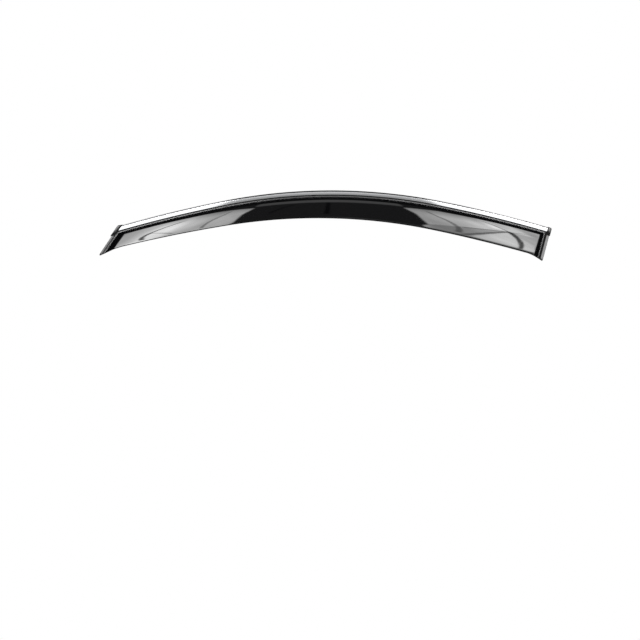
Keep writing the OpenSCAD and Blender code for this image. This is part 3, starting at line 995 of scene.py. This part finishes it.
# %% Camera
UPRIGHT = math.radians(90)
DISTANCE, LENS = 4.69, 120

bpy.ops.object.select_all(action="DESELECT")
bpy.ops.object.camera_add(location=(-0.0249, -DISTANCE, -0.2767), rotation=(UPRIGHT, 0, 0))
camera = bpy.context.object
camera.data.lens = LENS
camera.data.sensor_width = 36
bpy.context.scene.camera = camera

# %% [markdown]
# ## Room and lights
# A black glossy part shows the room more than itself, so the room is most of its look. One
# wall of light stands behind the camera. Its tall white panels left and right give the blade
# its bright ends, and between them the wall is nearly black at the height that the blade
# mirrors and grey lower down, where the bright strip looks. The panels hang a little unevenly:
# narrow gaps between them draw the dark lines that curve across the blade. Two patches low at
# the outer ends light the end lands. A dark ceiling and dark curtains keep shoulder and end
# walls black, and a grey card below is what the strip mirrors when it is seen from above.


# %% Room
def glowing(name, brightness):
    """An emitting material whose brightness is a signal."""
    finish = Finish(name)
    glow = finish.node("ShaderNodeEmission", None, Color=(1, 1, 1, 1),
                       Strength=brightness(finish))
    finish.feed(finish.tree.nodes["Material Output"].inputs["Surface"], glow)
    finish.tree.nodes.remove(finish.shader)
    return finish.material


def cloth(name, grey):
    """A dull material of one grey."""
    return Finish(name, Base_Color=(grey, grey, grey, 1), Roughness=0.9).material


def panel(name, place, size, turn, material):
    """A flat piece of the room, which the camera doesn't see itself."""
    bpy.ops.object.select_all(action="DESELECT")
    bpy.ops.mesh.primitive_plane_add(size=1, location=place, rotation=turn)
    piece = bpy.context.object
    piece.name = name
    piece.scale = (*size, 1)
    freeze(piece)
    piece.data.materials.append(material)
    piece.visible_camera = False


# %% [markdown]
# ## The wall of light
# The wall is one formula of x (along the car) and z (up), in metres. The panels' brightness
# along x is a colour ramp. Each seam is a row: its low, middle and high point as (x, z), its
# width at the low and at the high point, and how dark it is.

# %% Panels and seams
RAMP_REACH, RAMP_FULL = 2.8, 20
PANEL_LEVELS = (
    (-2.7, 7), (-2.3, 9), (-2.12, 13), (-2.03, 18), (-1.85, 18), (-1.7, 12), (-1.5, 8.5),
    (-1.42, 9.5), (-1.1, 8.5), (1.1, 7), (1.4, 7.5), (1.5, 10), (1.8, 13), (2.02, 13.5),
    (2.12, 9), (2.3, 8), (2.7, 7.5))
PANEL_SEAMS = (
    ((-1.935, 1.10), (-2.06, 1.64), (-1.88, 2.14), (0.042, 0.035), 0.90),
    ((-1.66, 1.05), (-1.84, 1.38), (-2.06, 1.70), (0.035, 0.02), 0.45),
    ((-1.42, 1.00), (-1.47, 1.60), (-1.40, 2.20), (0.028, 0.022), 0.60),
    ((1.36, 0.60), (1.48, 1.45), (1.38, 2.10), (0.04, 0.03), 0.55),
    ((1.80, 0.34), (2.00, 1.07), (2.10, 1.67), (0.028, 0.05), 0.90),
    ((2.10, 1.67), (2.07, 2.00), (2.00, 2.29), (0.022, 0.02), 0.80),
    ((1.56, 1.20), (1.84, 1.48), (2.09, 1.72), (0.045, 0.03), 0.60),
    ((1.40, 0.48), (1.74, 1.11), (2.09, 1.72), (0.06, 0.03), 0.65),
    ((2.10, 1.67), (2.23, 1.85), (2.40, 2.00), (0.02, 0.02), 0.50))
MIDDLE_SEAMS = (
    ((-0.025, 1.1), (-0.02, 1.5), (-0.012, 2.3), (0.05, 0.04), 0.8),
    ((-0.74, 1.5), (-0.66, 1.8), (-0.50, 2.15), (0.04, 0.03), 0.7))
WEDGE_DEPTH, PATCH_GLOW = 0.40, 6.5


def seam(x, z, low, mid, high, widths, depth):
    """What a soft dark line through three points of the wall leaves of the light."""
    slope = (mid[0] - low[0]) / (mid[1] - low[1])
    curve = ((high[0] - low[0]) / (high[1] - low[1]) - slope) / (high[1] - mid[1])
    up = z - low[1]
    across = abs(x - low[0] - up * slope - up * (z - mid[1]) * curve)
    width = widths[0] + up * ((widths[1] - widths[0]) / (high[1] - low[1]))
    line = 1 - (across / width).above(0.3, 1)
    ends = up.above(-0.08, 0.0) * (high[1] - z).above(-0.08, 0.0)
    return 1 - line * ends * depth


def wall_of_light(finish):
    """How brightly the wall glows at each point."""
    place = finish.node("ShaderNodeTexCoord", output="Object")
    x = finish.node("ShaderNodeSeparateXYZ", None, place)
    z = finish.node("ShaderNodeSeparateXYZ", None, place, output=2)
    off_axis = abs(x)

    # The panels: streaky, dimmer high up except far out, with one glare spot
    ramp = finish.node("ShaderNodeValToRGB", {"stops": [
        ((at + RAMP_REACH) / (2 * RAMP_REACH), (level / RAMP_FULL,) * 3)
        for at, level in PANEL_LEVELS]}, (x + RAMP_REACH) / (2 * RAMP_REACH))
    streaks = finish.noise(2.6, detail=5, stretch=(1.3, 1, 0.45))
    panels = finish.node("ShaderNodeRGBToBW", None, ramp) * RAMP_FULL * (0.62 + streaks * 0.76)
    panels = panels * (1 - z.above(1.75, 2.5) * (1 - off_axis.above(1.95, 2.25)) * 0.55)
    glare = z.above(1.7, 1.85) * x.above(1.9, 2.0) * (1 - x.above(2.3, 2.4))
    panels = panels * (1 + glare * 0.5)
    for row in PANEL_SEAMS:
        panels = panels * seam(x, z, *row)

    # A dark wedge between two slanting edges of the rear panel
    under = (z - 0.48 - (x - 1.40) * 1.8).above(-0.03, 0.03)
    over = (z - 1.21 - (x - 1.57) * 0.98).above(-0.03, 0.03)
    panels = panels * (1 - under * (1 - over) * x.above(1.0, 1.2) * WEDGE_DEPTH)

    # Both sides: panels with grey above and below them, the patches, and the room beyond
    outside = off_axis.above(2.75, 3.0)
    fall = (x - 1.2).at_least(0.0) * 0.27
    low = 1 - (z + fall).above(0.40, 0.52)
    low_glow = 0.08 + z.above(-0.45, -0.32) * 1.27
    top = (z - (off_axis - 1.3) * 0.35).above(2.27, 2.37)
    patches = x.above(2.08, 2.14) + (-2.12 - x).above(0.0, 0.06) * 0.75
    patches = patches * (1 - z.above(0.4, 0.5)) * z.above(-0.45, -0.32)
    sides = (panels * (1 - low) * (1 - top) * (1 - outside) + low * low_glow + top * 0.15
             + outside * 0.6 + patches * (1 - outside) * PATCH_GLOW)

    # The middle: nearly black, grey at the height of the strip's mirror image and high up
    middle = (0.17 + (1 - z.above(0.45, 0.6)) * (0.14 + z.above(0.15, 0.6) * 0.50)
              + z.above(2.3, 2.42) * (1 - z.above(2.9, 3.2)))
    for row in MIDDLE_SEAMS:
        middle = middle * seam(x, z, *row)

    # The line between them bends outwards a little at mid height
    shift = z.above(1.6, 2.3) * 0.09 + (1 - z.above(0.6, 0.8)) * 0.09
    side = (off_axis + shift).above(1.11, 1.17)
    return side * sides + (1 - side) * middle


# %% Hanging the room
DARK = cloth("dark_cloth", 0.02)
panel("light_wall", (0, -5.2, 0.75), (9, 8), (UPRIGHT, 0, 0),
      glowing("light_wall", wall_of_light))
panel("ceiling", (0, -0.4, 4.8), (9, 9.6), (0, 0, 0), DARK)
panel("low_card", (0, -1.0, -0.75), (4.4, 3.4), (0, 0, 0), cloth("grey_card", 0.45))
for side in SIDES:
    panel(f"side_curtain_{side + 1}", (side * 3.6, 0.4, 1.6), (6.4, 6.4),
          (UPRIGHT, 0, UPRIGHT), DARK)

world = bpy.data.worlds.new("studio")
bpy.context.scene.world = world
world.use_nodes = True
background = world.node_tree.nodes["Background"]
background.inputs["Color"].default_value = (1, 1, 1, 1)
background.inputs["Strength"].default_value = 1
bpy.context.scene.view_settings.view_transform = "Standard"

# %% Finish
bpy.data.objects.remove(arch)
